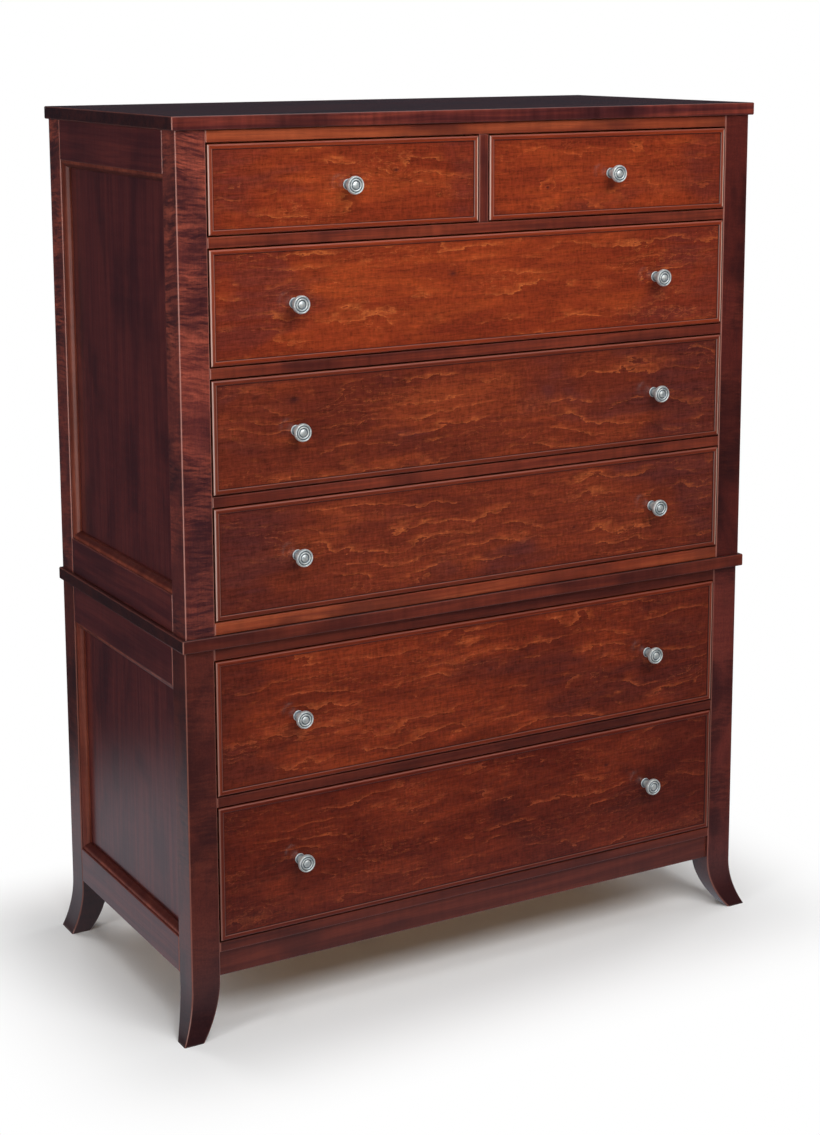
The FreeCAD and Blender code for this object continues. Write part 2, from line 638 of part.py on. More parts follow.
def build_upper_case(screw_holes):
    side = Side(upper_front, waist_top, case_top)
    rails = {
        "upper_top_rail": drawer_rail(upper_front, upper_top_rail_bottom, UPPER_TOP_RAIL_HEIGHT),
        "first_drawer_rail": drawer_rail(upper_front, first_rail_bottom, UPPER_RAIL_HEIGHT),
        "second_drawer_rail": drawer_rail(upper_front, second_rail_bottom, UPPER_RAIL_HEIGHT),
        "third_drawer_rail": drawer_rail(upper_front, third_rail_bottom, UPPER_RAIL_HEIGHT),
        "upper_bottom_rail": drawer_rail(upper_front, waist_top, UPPER_BOTTOM_RAIL_HEIGHT),
    }
    levels = [(first_rail_bottom, UPPER_RAIL_HEIGHT), (second_rail_bottom, UPPER_RAIL_HEIGHT),
              (third_rail_bottom, UPPER_RAIL_HEIGHT), (waist_top, UPPER_BOTTOM_RAIL_HEIGHT)]
    strips = [runner(upper_front, *level) for level in levels]
    strips.append(kicker(upper_front, upper_top_rail_bottom, UPPER_TOP_RAIL_HEIGHT))
    centre = [centre_runner(), centre_strip(upper_top_rail_bottom, UPPER_TOP_RAIL_HEIGHT)]
    rear_rails = [rear_rail(waist_top, REAR_RAIL_HEIGHT, TENON_SHOULDER),
                  rear_rail(first_rail_bottom, UPPER_RAIL_HEIGHT, THIN_RAIL_SHOULDER),
                  rear_rail(case_top - REAR_RAIL_HEIGHT, REAR_RAIL_HEIGHT, TENON_SHOULDER)]
    divider = small_drawer_divider()
    panel = back_panel(waist_top, case_top)
    joints = list(rails.values()) + side.rails().Solids + strips + rear_rails + [panel, side.groove()]
    export_pair("upper_front_post", with_sockets(upper_post(upper_front), *joints))
    export_pair("upper_rear_post", with_sockets(upper_post(back - POST_DEPTH), *joints))
    export_pair("upper_side_rails", side.rails())
    export_pair("upper_side_panel", side.panel())
    export("upper_panel_mouldings", *both(side.mouldings().Solids))
    for name, rail in rails.items():
        export(name, with_sockets(rail, *both(strips), *centre, divider))
    export("small_drawer_divider", divider)
    export("upper_rear_rails", *[with_sockets(rail, *centre) for rail in rear_rails])
    export("upper_back_panel", panel)
    export("upper_drawer_runners", *[with_sockets(strip, *screw_holes) for strip in both(strips)], *centre)


def build_lower_case(screw_holes):
    side = Side(lower_front, apron_bottom, waist_bottom)
    rails = {
        "lower_top_rail": drawer_rail(lower_front, lower_top_rail_bottom, LOWER_TOP_RAIL_HEIGHT),
        "lower_drawer_rail": drawer_rail(lower_front, lower_rail_bottom, LOWER_RAIL_HEIGHT),
        "ledge_rail": drawer_rail(lower_front, ledge_bottom, LEDGE_HEIGHT),
    }
    apron = front_member(lower_front + APRON_RECESS, apron_bottom, APRON_HEIGHT, APRON_THICKNESS,
                         TENON_SHOULDER)
    strips = [runner(lower_front, lower_rail_bottom, LOWER_RAIL_HEIGHT),
              runner(lower_front, ledge_bottom, LEDGE_HEIGHT),
              kicker(lower_front, lower_top_rail_bottom, LOWER_TOP_RAIL_HEIGHT)]
    rear_rails = [rear_rail(apron_bottom, REAR_RAIL_HEIGHT, TENON_SHOULDER),
                  rear_rail(waist_bottom - REAR_RAIL_HEIGHT, REAR_RAIL_HEIGHT, TENON_SHOULDER)]
    panel = back_panel(apron_bottom, waist_bottom)
    joints = list(rails.values()) + side.rails().Solids + strips + rear_rails + [apron, panel, side.groove()]
    export_pair("front_leg", with_sockets(leg(lower_front, True), *joints))
    export_pair("rear_leg", with_sockets(leg(back - POST_DEPTH, False), *joints))
    export_pair("lower_side_rails", side.rails())
    export_pair("lower_side_panel", side.panel())
    export("lower_panel_mouldings", *both(side.mouldings().Solids))
    for name, rail in rails.items():
        export(name, with_sockets(rail, *both(strips)))
    export("apron", apron)
    export("lower_rear_rails", *rear_rails)
    export("lower_back_panel", panel)
    export("lower_drawer_runners", *[with_sockets(strip, *screw_holes) for strip in both(strips)])


def make_drawers():
    full = (-post_inside, post_inside)
    half = DIVIDER_WIDTH / 2
    small = (small_bottom, SMALL_OPENING_HEIGHT)
    pair = (-KNOB_SPACING, KNOB_SPACING)
    small_centre = (post_inside + half) / 2
    return {
        "top_left_drawer": Drawer((-post_inside, -half), *small, upper_front, [-small_centre]),
        "top_right_drawer": Drawer((half, post_inside), *small, upper_front, [small_centre]),
        "second_drawer": Drawer(full, second_bottom, MIDDLE_OPENING_HEIGHT, upper_front, pair),
        "third_drawer": Drawer(full, third_bottom, MIDDLE_OPENING_HEIGHT, upper_front, pair),
        "fourth_drawer": Drawer(full, fourth_bottom, MIDDLE_OPENING_HEIGHT, upper_front, pair),
        "fifth_drawer": Drawer(full, fifth_bottom, FIFTH_OPENING_HEIGHT, lower_front, pair),
        "sixth_drawer": Drawer(full, sixth_bottom, SIXTH_OPENING_HEIGHT, lower_front, pair),
    }


def build_drawers(drawers):
    for name, drawer in drawers.items():
        export(name + "_front", drawer.front())
        export(name + "_box", *drawer.box_solids())
        export(name + "_knobs", *drawer.knob_solids())
    export("drawer_stops", *[stop for drawer in drawers.values() for stop in drawer.stops()])


def build_slabs(screw_holes):
    top = slab(TOP_OVERHANG_FRONT, TOP_OVERHANG_SIDE, case_top, TOP_SLAB_THICKNESS)
    waist = slab(WAIST_OVERHANG_FRONT, WAIST_OVERHANG_SIDE, waist_bottom, WAIST_SLAB_THICKNESS)
    export("top_slab", with_sockets(top, *screw_holes))
    export("waist_slab", with_sockets(waist, *screw_holes))
    export("slab_screws", *both(slab_screws(0.0)))


os.makedirs("parts", exist_ok=True)
holes = both(slab_screws(SCREW_CLEARANCE))
all_drawers = make_drawers()
build_slabs(holes)
build_upper_case(holes)
build_lower_case(holes)
build_drawers(all_drawers)
print("overall height", overall_height, "depth", UPPER_CASE_DEPTH + knob_reach)
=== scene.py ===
import json
import math

import bpy
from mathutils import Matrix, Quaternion, Vector

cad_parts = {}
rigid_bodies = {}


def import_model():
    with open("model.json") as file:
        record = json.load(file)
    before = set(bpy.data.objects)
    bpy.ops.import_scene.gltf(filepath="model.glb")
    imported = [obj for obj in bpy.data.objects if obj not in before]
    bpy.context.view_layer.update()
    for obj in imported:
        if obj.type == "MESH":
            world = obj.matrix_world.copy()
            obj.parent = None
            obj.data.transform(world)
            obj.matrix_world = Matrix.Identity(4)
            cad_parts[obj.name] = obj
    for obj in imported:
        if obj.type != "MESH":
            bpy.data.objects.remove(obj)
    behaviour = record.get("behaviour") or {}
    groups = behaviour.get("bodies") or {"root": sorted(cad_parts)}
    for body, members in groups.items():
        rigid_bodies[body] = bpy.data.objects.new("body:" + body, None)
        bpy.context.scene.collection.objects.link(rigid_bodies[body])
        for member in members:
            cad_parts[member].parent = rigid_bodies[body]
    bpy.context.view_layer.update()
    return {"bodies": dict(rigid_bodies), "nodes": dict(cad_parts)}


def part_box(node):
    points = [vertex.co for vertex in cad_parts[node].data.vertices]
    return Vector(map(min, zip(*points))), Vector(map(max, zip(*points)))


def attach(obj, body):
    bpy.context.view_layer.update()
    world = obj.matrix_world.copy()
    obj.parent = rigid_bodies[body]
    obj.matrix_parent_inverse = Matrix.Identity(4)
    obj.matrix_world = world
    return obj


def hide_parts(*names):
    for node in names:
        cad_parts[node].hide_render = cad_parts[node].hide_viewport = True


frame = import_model()

# ---- posts and legs ----
# Four upper posts and four flared legs, sawn from curly maple. The grain runs up the post and the curl
# crosses it in short dark and bright bars. A red-brown dye and a clear satin lacquer go over all of it.

def stain(red, green, blue):
    """A colour given as 0 to 255 on a screen, made linear as the shader wants it."""
    def linear(value):
        value /= 255
        return value / 12.92 if value <= 0.04045 else ((value + 0.055) / 1.055) ** 2.4
    return (linear(red), linear(green), linear(blue), 1.0)


class Finish:
    """One finish, built node by node on its own shader. It reads the piece's own coordinates, in metres."""

    def __init__(self, name):
        self.material = bpy.data.materials.new(name)
        self.material.use_nodes = True
        self.tree = self.material.node_tree
        self.shader = self.tree.nodes["Principled BSDF"]
        coordinates = self.add("ShaderNodeTexCoord")
        self.place = coordinates.outputs["Object"]
        self.x, self.y, self.z = self.add("ShaderNodeSeparateXYZ", self.place).outputs
        self.facing = self.add("ShaderNodeSeparateXYZ", coordinates.outputs["Normal"]).outputs

    def feed(self, socket, value):
        """Links a socket to another one, or sets it to a plain value."""
        if isinstance(value, bpy.types.NodeSocket):
            self.tree.links.new(value, socket)
        else:
            socket.default_value = value

    def add(self, kind, *values, **settings):
        """A node of that kind; the values go to its inputs in order."""
        node = self.tree.nodes.new(kind)
        for key, value in settings.items():
            setattr(node, key, value)
        for socket, value in zip(node.inputs, values):
            self.feed(socket, value)
        return node

    def math(self, operation, *values):
        return self.add("ShaderNodeMath", *values, operation=operation).outputs[0]

    def weigh(self, *pairs):
        """The sum of each value times its weight."""
        total = 0.0
        for value, weight in pairs:
            total = self.math("MULTIPLY_ADD", value, weight, total)
        return total

    def noise(self, scale, seed, detail=2.0, roughness=0.5, distortion=0.0, warp=None):
        """Soft random values round 0.5; scale is how many lumps to the metre along X, Y and Z."""
        start = self.place if warp is None else warp
        spread = self.add("ShaderNodeMapping", start, (seed, seed * 1.7, seed * 2.3), (0.0, 0.0, 0.0), scale)
        cloud = self.add("ShaderNodeTexNoise")
        for name, value in (("Vector", spread.outputs[0]), ("Scale", 1.0), ("Detail", detail),
                            ("Roughness", roughness), ("Distortion", distortion)):
            self.feed(cloud.inputs[name], value)
        return cloud.outputs["Fac"]

    def fade(self, value, low, high):
        """0 below low, 1 above high, and a soft step between them."""
        step = self.add("ShaderNodeMapRange", value, low, high, 0.0, 1.0, interpolation_type="SMOOTHSTEP")
        return step.outputs[0]

    def blend(self, amount, first, second, mode="MIX"):
        """The first colour where the amount is 0 and the second where it is 1."""
        node = self.tree.nodes.new("ShaderNodeMix")
        node.data_type = "RGBA"
        node.blend_type = mode
        node.clamp_factor = True
        for socket, value in zip((node.inputs[0], node.inputs[6], node.inputs[7]), (amount, first, second)):
            self.feed(socket, value)
        return node.outputs[2]

    def glaze(self, color, tone, *strengths):
        """Lays a tone over a colour, as strongly as the product of the strengths."""
        amount = strengths[0]
        for strength in strengths[1:]:
            amount = self.math("MULTIPLY", amount, strength)
        return self.blend(amount, color, tone)

    def grained(self, color, amount, *pairs):
        """Darkens and lightens a colour by the weighed sum of the pairs."""
        shade = self.weigh(*pairs)
        grey = self.add("ShaderNodeCombineXYZ", shade, shade, shade).outputs[0]
        return self.blend(amount, color, grey, "MULTIPLY")

    def arris(self, first, second):
        """1 halfway round an edge that turns from one axis (0, 1 or 2 for X, Y or Z) to the other, and 0 on
        both faces."""
        product = self.math("MULTIPLY", self.facing[first], self.facing[second])
        return self.fade(self.math("ABSOLUTE", product), 0.08, 0.42)

    def shape(self, color, roughness, height, depth):
        """Sets the colour, the roughness and a relief of that depth in metres on the shader."""
        self.feed(self.shader.inputs["Base Color"], color)
        self.feed(self.shader.inputs["Roughness"], roughness)
        relief = self.add("ShaderNodeBump")
        relief.inputs["Distance"].default_value = depth
        self.feed(relief.inputs["Height"], height)
        self.feed(self.shader.inputs["Normal"], relief.outputs[0])

    def glaze_last(self, tone, *strengths):
        """Lays one more tone over the colour that the shader has."""
        color = self.shader.inputs["Base Color"]
        self.feed(color, self.glaze(color.links[0].from_socket, tone, *strengths))

    def seal(self, coating):
        """The last coat, given as the specular level, the coat's weight and the coat's roughness."""
        specular, coat, coat_roughness = coating
        self.shader.inputs["Specular IOR Level"].default_value = specular
        self.shader.inputs["Coat Weight"].default_value = coat
        self.shader.inputs["Coat Roughness"].default_value = coat_roughness


def dress(finish, *names):
    """Puts a finish on CAD pieces."""
    for name in names:
        for slot in frame["nodes"][name].material_slots:
            slot.material = finish.material


# Pale colour for worn arrises, laid also as a painted highlight where the lamps would glint on them
RUBBED_AND_HIGHLIT_EDGE = stain(176, 112, 96)
PORE_DEPTH = 0.0003
LACQUER = (0.10, 1.0, 0.18)  # specular level, and the coat's weight and roughness


def curly_maple(name, seed, curl_depth, dark, middle, light, foot=None, rubbed_and_highlit=0.65):
    """Upright grain crossed by bars of curl; curl_depth says how strongly they show. Foot is the tone at the
    floor, and the last number says how strongly the arrises are worn pale and painted with highlights."""
    wood = Finish(name)
    sway = wood.noise((14.0, 14.0, 9.0), seed, 2.0)
    tilted = wood.add("ShaderNodeCombineXYZ", wood.x, wood.y,
                      wood.weigh((wood.z, 1.0), (sway, 0.020), (wood.x, 0.12), (wood.y, 0.12))).outputs[0]
    wide_bars = wood.noise((14.0, 14.0, 110.0), seed + 3, 3.0, 0.6, 0.3, warp=tilted)
    fine_bars = wood.noise((36.0, 36.0, 240.0), seed + 5, 3.0, 0.7, 0.2, warp=tilted)
    bars_shown = wood.fade(wood.noise((9.0, 9.0, 12.0), seed + 13, 2.0), 0.36, 0.60)
    grain = wood.noise((210.0, 210.0, 9.0), seed + 7, 3.0, 0.6)
    fibre = wood.noise((900.0, 900.0, 60.0), seed + 9, 2.0)
    fuzz = wood.noise((260.0, 260.0, 330.0), seed + 15, 3.0, 0.7)
    patches = wood.noise((9.0, 9.0, 6.0), seed + 11, 3.0, 0.6, 0.4)
    curl = wood.fade(wood.weigh((wide_bars, 0.5), (fine_bars, 0.5)), 0.38, 0.64)
    where_curly = wood.weigh((bars_shown, 0.75 * curl_depth), (1.0, 0.25 * curl_depth))
    more_above = wood.weigh((wood.fade(wood.z, 0.75, 1.25), 0.55), (1.0, 0.45))
    color = wood.blend(wood.fade(patches, 0.38, 0.62), dark, middle)
    color = wood.glaze(color, light, where_curly, more_above, curl)
    color = wood.glaze(color, dark, wood.fade(grain, 0.5, 0.75), 0.35)
    # Painted shade: the legs darken toward the floor
    if foot:
        color = wood.glaze(color, foot, wood.fade(wood.z, 0.20, 0.02), 0.75)
    color = wood.grained(color, 0.7, (fibre, 0.8), (grain, 0.6), (fuzz, 1.2), (1.0, -0.3))
    # Painted highlight on the upright arrises, laid with the wear as one pale colour
    color = wood.glaze(color, RUBBED_AND_HIGHLIT_EDGE, wood.arris(0, 1), rubbed_and_highlit)
    relief = wood.weigh((fibre, 0.25), (grain, 0.35), (wide_bars, 0.6 * curl_depth))
    wood.shape(color, wood.weigh((grain, 0.12), (1.0, 0.28)), relief, PORE_DEPTH)
    wood.seal(LACQUER)
    return wood


dress(curly_maple("left_post_maple", 2.0, 0.85, stain(56, 26, 30), stain(98, 42, 38), stain(166, 80, 60)),
      "upper_front_post_left", "upper_rear_post_left")
dress(curly_maple("right_post_maple", 4.0, 0.45, stain(44, 17, 17), stain(80, 30, 25), stain(118, 50, 36)),
      "upper_front_post_right", "upper_rear_post_right")
dress(curly_maple("left_leg_maple", 6.0, 0.6, stain(52, 22, 22), stain(84, 35, 28), stain(124, 56, 38),
                  foot=stain(38, 18, 21), rubbed_and_highlit=0.38),
      "front_leg_left", "rear_leg_left")
dress(curly_maple("right_leg_maple", 8.0, 0.6, stain(58, 24, 24), stain(96, 39, 33), stain(138, 62, 46),
                  foot=stain(42, 19, 21), rubbed_and_highlit=0.38),
      "front_leg_right", "rear_leg_right")

# ---- slabs ----
# The top slab and the waist slab, each glued up from flat-sawn boards with the grain from side to side. The
# dye takes darker and bluer in the end grain and in patches of softer wood, and the level faces are given a
# darker tone still as painted shade.

def long_grain(name, seed, along, dark, middle, light, patchy=0.5, rubbed_and_highlit=False, end=None, top=None,
               striped=1.0, curly=0.6, coating=LACQUER):
    """Straight to gently wavy grain along X, Y or Z, in three tones of the same stain. Patchy, striped and
    curly say how strongly soft patches, bands of grain and curl show; end and top are the tones of the end
    grain and of the level faces."""
    wood = Finish(name)

    def stretched(lengthwise, crosswise):
        return tuple(lengthwise if axis == along else crosswise for axis in "XYZ")

    sway = wood.math("MULTIPLY", wood.noise(stretched(1.6, 14.0), seed, 2.0), 0.03)
    sideways = wood.add("ShaderNodeCombineXYZ", *[0.0 if axis == along else sway for axis in "XYZ"])
    shifted = wood.add("ShaderNodeVectorMath", wood.place, sideways.outputs[0]).outputs[0]
    bands = wood.noise(stretched(2.2, 75.0), seed + 2, 3.0, 0.55, warp=shifted)
    grain = wood.noise(stretched(6.0, 330.0), seed + 4, 3.0, 0.6, warp=shifted)
    fibre = wood.noise(stretched(30.0, 1300.0), seed + 6, 2.0)
    flecks = wood.noise(stretched(120.0, 1600.0), seed + 8, 1.0)
    patches = wood.noise(stretched(4.5, 11.0), seed + 10, 2.0, 0.6, 0.4)
    curl = wood.noise(stretched(85.0, 11.0), seed + 12, 2.0)
    color = wood.glaze(middle, light, wood.fade(bands, 0.36, 0.66), striped)
    color = wood.glaze(color, dark, wood.fade(patches, 0.46, 0.66), patchy)
    color = wood.glaze(color, dark, wood.fade(grain, 0.5, 0.72), 0.5 * striped)
    color = wood.grained(color, 0.6, (fibre, 0.6), (curl, curly), (flecks, 0.4), (grain, 0.6),
                         (1.0, 0.22 - 0.5 * curly))
    # The end grain takes the stain darker; the level faces get a darker tone as painted shade, for the light
    # only grazes them
    for axis, tone in ((0, end), (2, top)):
        if tone:
            across = wood.fade(wood.math("ABSOLUTE", wood.facing[axis]), 0.6, 0.9)
            color = wood.glaze(color, tone, across, 0.75)
    # Painted highlight on the arrises, strongest on the upright ones, laid with the wear as one pale colour
    if rubbed_and_highlit:
        edge = wood.weigh((wood.arris(0, 1), 0.6), (wood.arris(0, 2), 0.15), (wood.arris(1, 2), 0.06))
        color = wood.blend(edge, color, RUBBED_AND_HIGHLIT_EDGE)
    relief = wood.weigh((fibre, 0.3), (grain, 0.5), (curl, 0.4))
    wood.shape(color, wood.weigh((grain, 0.12), (1.0, 0.28)), relief, PORE_DEPTH)
    wood.seal(coating)
    return wood


# Both slabs' top tones are painted shade on their level faces
slab_wood = long_grain("slab_maple", 31.0, "X", stain(40, 20, 24), stain(76, 31, 30), stain(118, 50, 38),
                       patchy=0.6, rubbed_and_highlit=True, end=stain(24, 14, 17), top=stain(22, 14, 18), curly=1.9)
dress(slab_wood, "top_slab")
waist_wood = long_grain("waist_maple", 37.0, "X", stain(50, 21, 21), stain(84, 33, 25), stain(112, 46, 30),
                        patchy=0.6, rubbed_and_highlit=True, end=stain(34, 16, 18), top=stain(34, 16, 18), curly=1.1)
dress(waist_wood, "waist_slab")

# ---- front rails, apron and divider ----
# Straight-grained rails between the posts, each with a stub tenon into them, the apron under the ledge and
# the short upright between the two small drawers.

rail_wood = long_grain("rail_maple", 47.0, "X", stain(56, 24, 23), stain(94, 37, 27), stain(126, 54, 34),
                       patchy=0.6, rubbed_and_highlit=True, curly=1.2)
dress(rail_wood, "first_drawer_rail", "second_drawer_rail", "third_drawer_rail")
deep_rail_wood = long_grain("deep_rail_maple", 49.0, "X", stain(46, 20, 19), stain(80, 31, 23),
                            stain(106, 43, 28), rubbed_and_highlit=True, striped=0.7)
dress(deep_rail_wood, "lower_top_rail", "lower_drawer_rail", "ledge_rail", "apron")
bright_rail_wood = long_grain("bright_rail_maple", 43.0, "X", stain(80, 34, 27), stain(124, 51, 30),
                              stain(156, 74, 42), patchy=0.7, rubbed_and_highlit=True)
dress(bright_rail_wood, "upper_top_rail", "upper_bottom_rail")
divider_wood = long_grain("divider_maple", 53.0, "Z", stain(50, 23, 25), stain(86, 35, 28),
                          stain(122, 52, 36), patchy=0.6, rubbed_and_highlit=True)
dress(divider_wood, "small_drawer_divider")

# ---- sides ----
# Each side is a flat panel in grooves between two rails, with a mitred moulding round it. The panel's grain
# stands upright and the rails' runs front to back; both are given darker tones than the fronts, in part as
# painted shade of sides that get less light.

side_dark, side_middle, side_light = stain(50, 19, 24), stain(76, 29, 30), stain(96, 40, 36)
side_rail_wood = long_grain("side_rail_maple", 61.0, "Y", side_dark, side_middle, side_light, rubbed_and_highlit=True)
side_panel_wood = long_grain("side_panel_maple", 67.0, "Z", side_dark, side_middle, side_light,
                             patchy=0.6, striped=0.8)
for case in ("upper", "lower"):
    for side in ("left", "right"):
        dress(side_rail_wood, f"{case}_side_rails_{side}")
        dress(side_panel_wood, f"{case}_side_panel_{side}")

THIN_LACQUER = (0.10, 0.3, 0.2)
moulding_wood = long_grain("moulding_maple", 71.0, "Z", stain(70, 30, 26), stain(110, 50, 38),
                           stain(138, 70, 52), coating=THIN_LACQUER)
level_moulding = moulding_wood.fade(moulding_wood.math("ABSOLUTE", moulding_wood.facing[2]), 0.2, 0.5)
moulding_wood.glaze_last(stain(58, 22, 22), level_moulding, 0.75)
dress(moulding_wood, "upper_panel_mouldings", "lower_panel_mouldings")

# ---- back and inside ----
# Thin plywood backs in rabbets, rear rails, and the runners, kickers and stops that guide the drawers: plain
# pale wood, oiled and not stained, with the back given one thin wash of the stain.

THIN_OIL = (0.2, 0.0, 0.3)
OIL = (0.25, 0.0, 0.3)
back_wood = long_grain("back_ply", 79.0, "X", stain(112, 66, 46), stain(148, 94, 66), stain(172, 116, 84),
                       patchy=0.35, striped=0.6, coating=THIN_OIL)
dress(back_wood, "upper_back_panel", "lower_back_panel")
pale_tones = stain(150, 112, 76), stain(186, 148, 106), stain(206, 172, 130)
runner_wood = long_grain("runner_maple", 83.0, "Y", *pale_tones, coating=OIL)
dress(runner_wood, "upper_drawer_runners", "lower_drawer_runners", "drawer_stops")
rear_rail_wood = long_grain("rear_rail_maple", 89.0, "X", *pale_tones, coating=OIL)
dress(rear_rail_wood, "upper_rear_rails", "lower_rear_rails")

# ---- drawer fronts ----
# Each front is one board of figured maple, cut so that the growth rings wander over it like contour lines,
# each with a crisp bright edge that fades away on one side. A raised bead with mitred corners frames it.

# Cream painted highlight for the bead's left- and right-facing roundings
PAINTED_EDGE_HIGHLIGHT = stain(224, 192, 174)
KNOT_TONE = stain(48, 20, 20)


def growth_rings(wood, seed, knot_x, knot_z, knot_radius):
    """Rings that wander over the board and run round a knot: the way through each ring, the way through the
    fine ones between them, and how near the knot is."""
    swell = wood.noise((1.7, 6.0, 5.2), seed, 2.0, 0.5, 0.2)
    ripple = wood.noise((10.0, 20.0, 26.0), seed + 2, 3.0, 0.58)
    feather = wood.noise((48.0, 60.0, 170.0), seed + 4, 3.0, 0.62)
    off_x = wood.math("SUBTRACT", wood.x, knot_x)
    off_z = wood.math("SUBTRACT", wood.z, knot_z)
    reach = wood.math("SQRT", wood.weigh((wood.math("MULTIPLY", off_x, off_x), 0.35),
                                         (wood.math("MULTIPLY", off_z, off_z), 1.0)))
    hill = wood.math("EXPONENT", wood.math("DIVIDE", reach, -2.2 * knot_radius))
    rings = wood.weigh((wood.z, 30.0), (swell, 6.0), (ripple, 2.4), (feather, 0.55), (hill, 2.6))
    fine_rings = wood.weigh((rings, 2.3), (ripple, 1.0), (feather, 0.6))
    knot = wood.math("EXPONENT", wood.math("MULTIPLY", wood.math("DIVIDE", reach, knot_radius),
                                           wood.math("DIVIDE", reach, -0.5 * knot_radius)))
    return wood.math("FRACT", rings), wood.math("FRACT", fine_rings), knot


def board_figure(wood, seed, left, right, tones, knot_place):
    """The figured field of a board between those ends in X: its colour, roughness and relief."""
    murky, dark, middle, light, streak = tones
    half_width = (right - left) / 2
    left_end = wood.fade(wood.x, left + 0.45 * half_width, left - 0.1 * half_width)
    right_end = wood.fade(wood.x, right - 0.55 * half_width, right + 0.2 * half_width)
    ends = wood.math("MAXIMUM", left_end, right_end)
    calm = wood.weigh((ends, -0.65), (1.0, 1.0))

    through_ring, through_fine_ring, knot = growth_rings(wood, seed, *knot_place)
    inside_ring = wood.math("SUBTRACT", 1.0, through_ring)
    crest = wood.math("POWER", inside_ring, 10.0)
    trail = wood.math("POWER", inside_ring, 2.2)
    fine_crest = wood.math("POWER", wood.math("SUBTRACT", 1.0, through_fine_ring), 14.0)

    shown = wood.fade(wood.noise((7.0, 8.0, 20.0), seed + 6, 4.0, 0.65, 0.3), 0.47, 0.60)
    shown = wood.math("MULTIPLY", shown, calm)
    fine_shown = wood.fade(wood.noise((6.0, 8.0, 19.0), seed + 8, 3.0, 0.6), 0.48, 0.62)
    clouds = wood.noise((2.6, 5.0, 7.5), seed + 10, 3.0, 0.55, 0.4)
    blotches = wood.noise((4.5, 9.0, 18.0), seed + 12, 3.0, 0.6, 0.6)
    grain = wood.noise((18.0, 30.0, 230.0), seed + 14, 4.0, 0.75)
    fibre = wood.noise((80.0, 100.0, 460.0), seed + 16, 3.0, 0.7)
    cross = wood.noise((210.0, 60.0, 60.0), seed + 18, 4.0, 0.75)
    bands = wood.noise((5.0, 10.0, 60.0), seed + 26, 3.0, 0.6, 0.5)
    smoke = wood.noise((3.2, 6.0, 8.0), seed + 24, 3.0, 0.6, 0.4)
    # The murk is heavier toward the ends, most toward the right, partly as painted shade of the light falling
    # off there
    murk = wood.fade(wood.weigh((smoke, 1.0), (left_end, 0.19), (right_end, 0.38)), 0.52, 0.70)

    color = wood.blend(wood.fade(clouds, 0.34, 0.60), dark, middle)
    color = wood.glaze(color, light, wood.fade(blotches, 0.44, 0.68), 0.7)
    color = wood.glaze(color, murky, murk, 0.7)
    # Painted shade: the board darkens toward both ends, most toward the right
    color = wood.glaze(color, dark, wood.weigh((left_end, 0.28), (right_end, 0.48)))
    color = wood.glaze(color, dark, wood.fade(bands, 0.44, 0.64), 0.6)
    color = wood.glaze(color, dark, through_ring, 0.22)
    color = wood.glaze(color, light, shown, 0.5, trail)
    color = wood.glaze(color, streak, crest, wood.weigh((shown, 0.50), (1.0, 0.03)))
    color = wood.glaze(color, streak, fine_shown, 0.4, fine_crest)
    color = wood.glaze(color, KNOT_TONE, knot, 0.75)
    color = wood.grained(color, 0.9, (fibre, 1.3), (grain, 1.5), (cross, 1.5), (1.0, -1.12))
    roughness = wood.weigh((blotches, 0.10), (grain, 0.08), (1.0, 0.26))
    relief = wood.weigh((fibre, 0.25), (grain, 0.3), (cross, 0.3), (through_ring, 0.15))
    return color, roughness, relief


BEAD_WIDTH = 0.0085
# Stain and painted shade in the corner at the bead's inner edge
CORNER_STAIN_AND_SHADE = stain(36, 15, 14)


def bead_frame(wood, seed, color, low, high, dark, middle, rubbed_and_highlit):
    """Lays the bead over a board that fills that box, with its grain turned at the mitres, a painted sheen on
    its upright members, and stain with painted shade in the corner and along the field beside it. Hands back
    the colour, and how far outside the bead's inner edge each place lies."""
    past = []
    for place, axis in ((wood.x, 0), (wood.z, 2)):
        from_middle = wood.math("ABSOLUTE", wood.math("SUBTRACT", place, (low[axis] + high[axis]) / 2))
        past.append(wood.math("SUBTRACT", from_middle, (high[axis] - low[axis]) / 2 - BEAD_WIDTH))
    bead = wood.math("MAXIMUM", *past)
    upright = wood.math("GREATER_THAN", *past)
    level_grain = wood.noise((7.0, 200.0, 520.0), seed + 20, 2.0, 0.6)
    upright_grain = wood.noise((520.0, 200.0, 7.0), seed + 22, 2.0, 0.6)
    bead_grain = wood.math("ADD", wood.math("MULTIPLY", upright_grain, upright),
                           wood.math("MULTIPLY", level_grain, wood.math("SUBTRACT", 1.0, upright)))
    bead_color = wood.blend(wood.fade(bead_grain, 0.38, 0.62), dark, middle)
    # Painted sheen on the bead's upright members
    bead_color = wood.glaze(bead_color, RUBBED_AND_HIGHLIT_EDGE, upright, 0.15 * rubbed_and_highlit)
    # Stain and painted shade in the corner at the bead's inner edge, and painted shade over the field beside
    # it
    corner = wood.math("SUBTRACT", 1.0, wood.fade(wood.math("ABSOLUTE", bead), 0.0003, 0.0016))
    color = wood.glaze(color, dark, wood.fade(bead, -0.007, 0.0), 0.4)
    color = wood.glaze(color, bead_color, wood.fade(bead, -0.0002, 0.0004), 0.8)
    return wood.glaze(color, CORNER_STAIN_AND_SHADE, corner, 0.7), bead


END_GRAIN = stain(44, 19, 18)


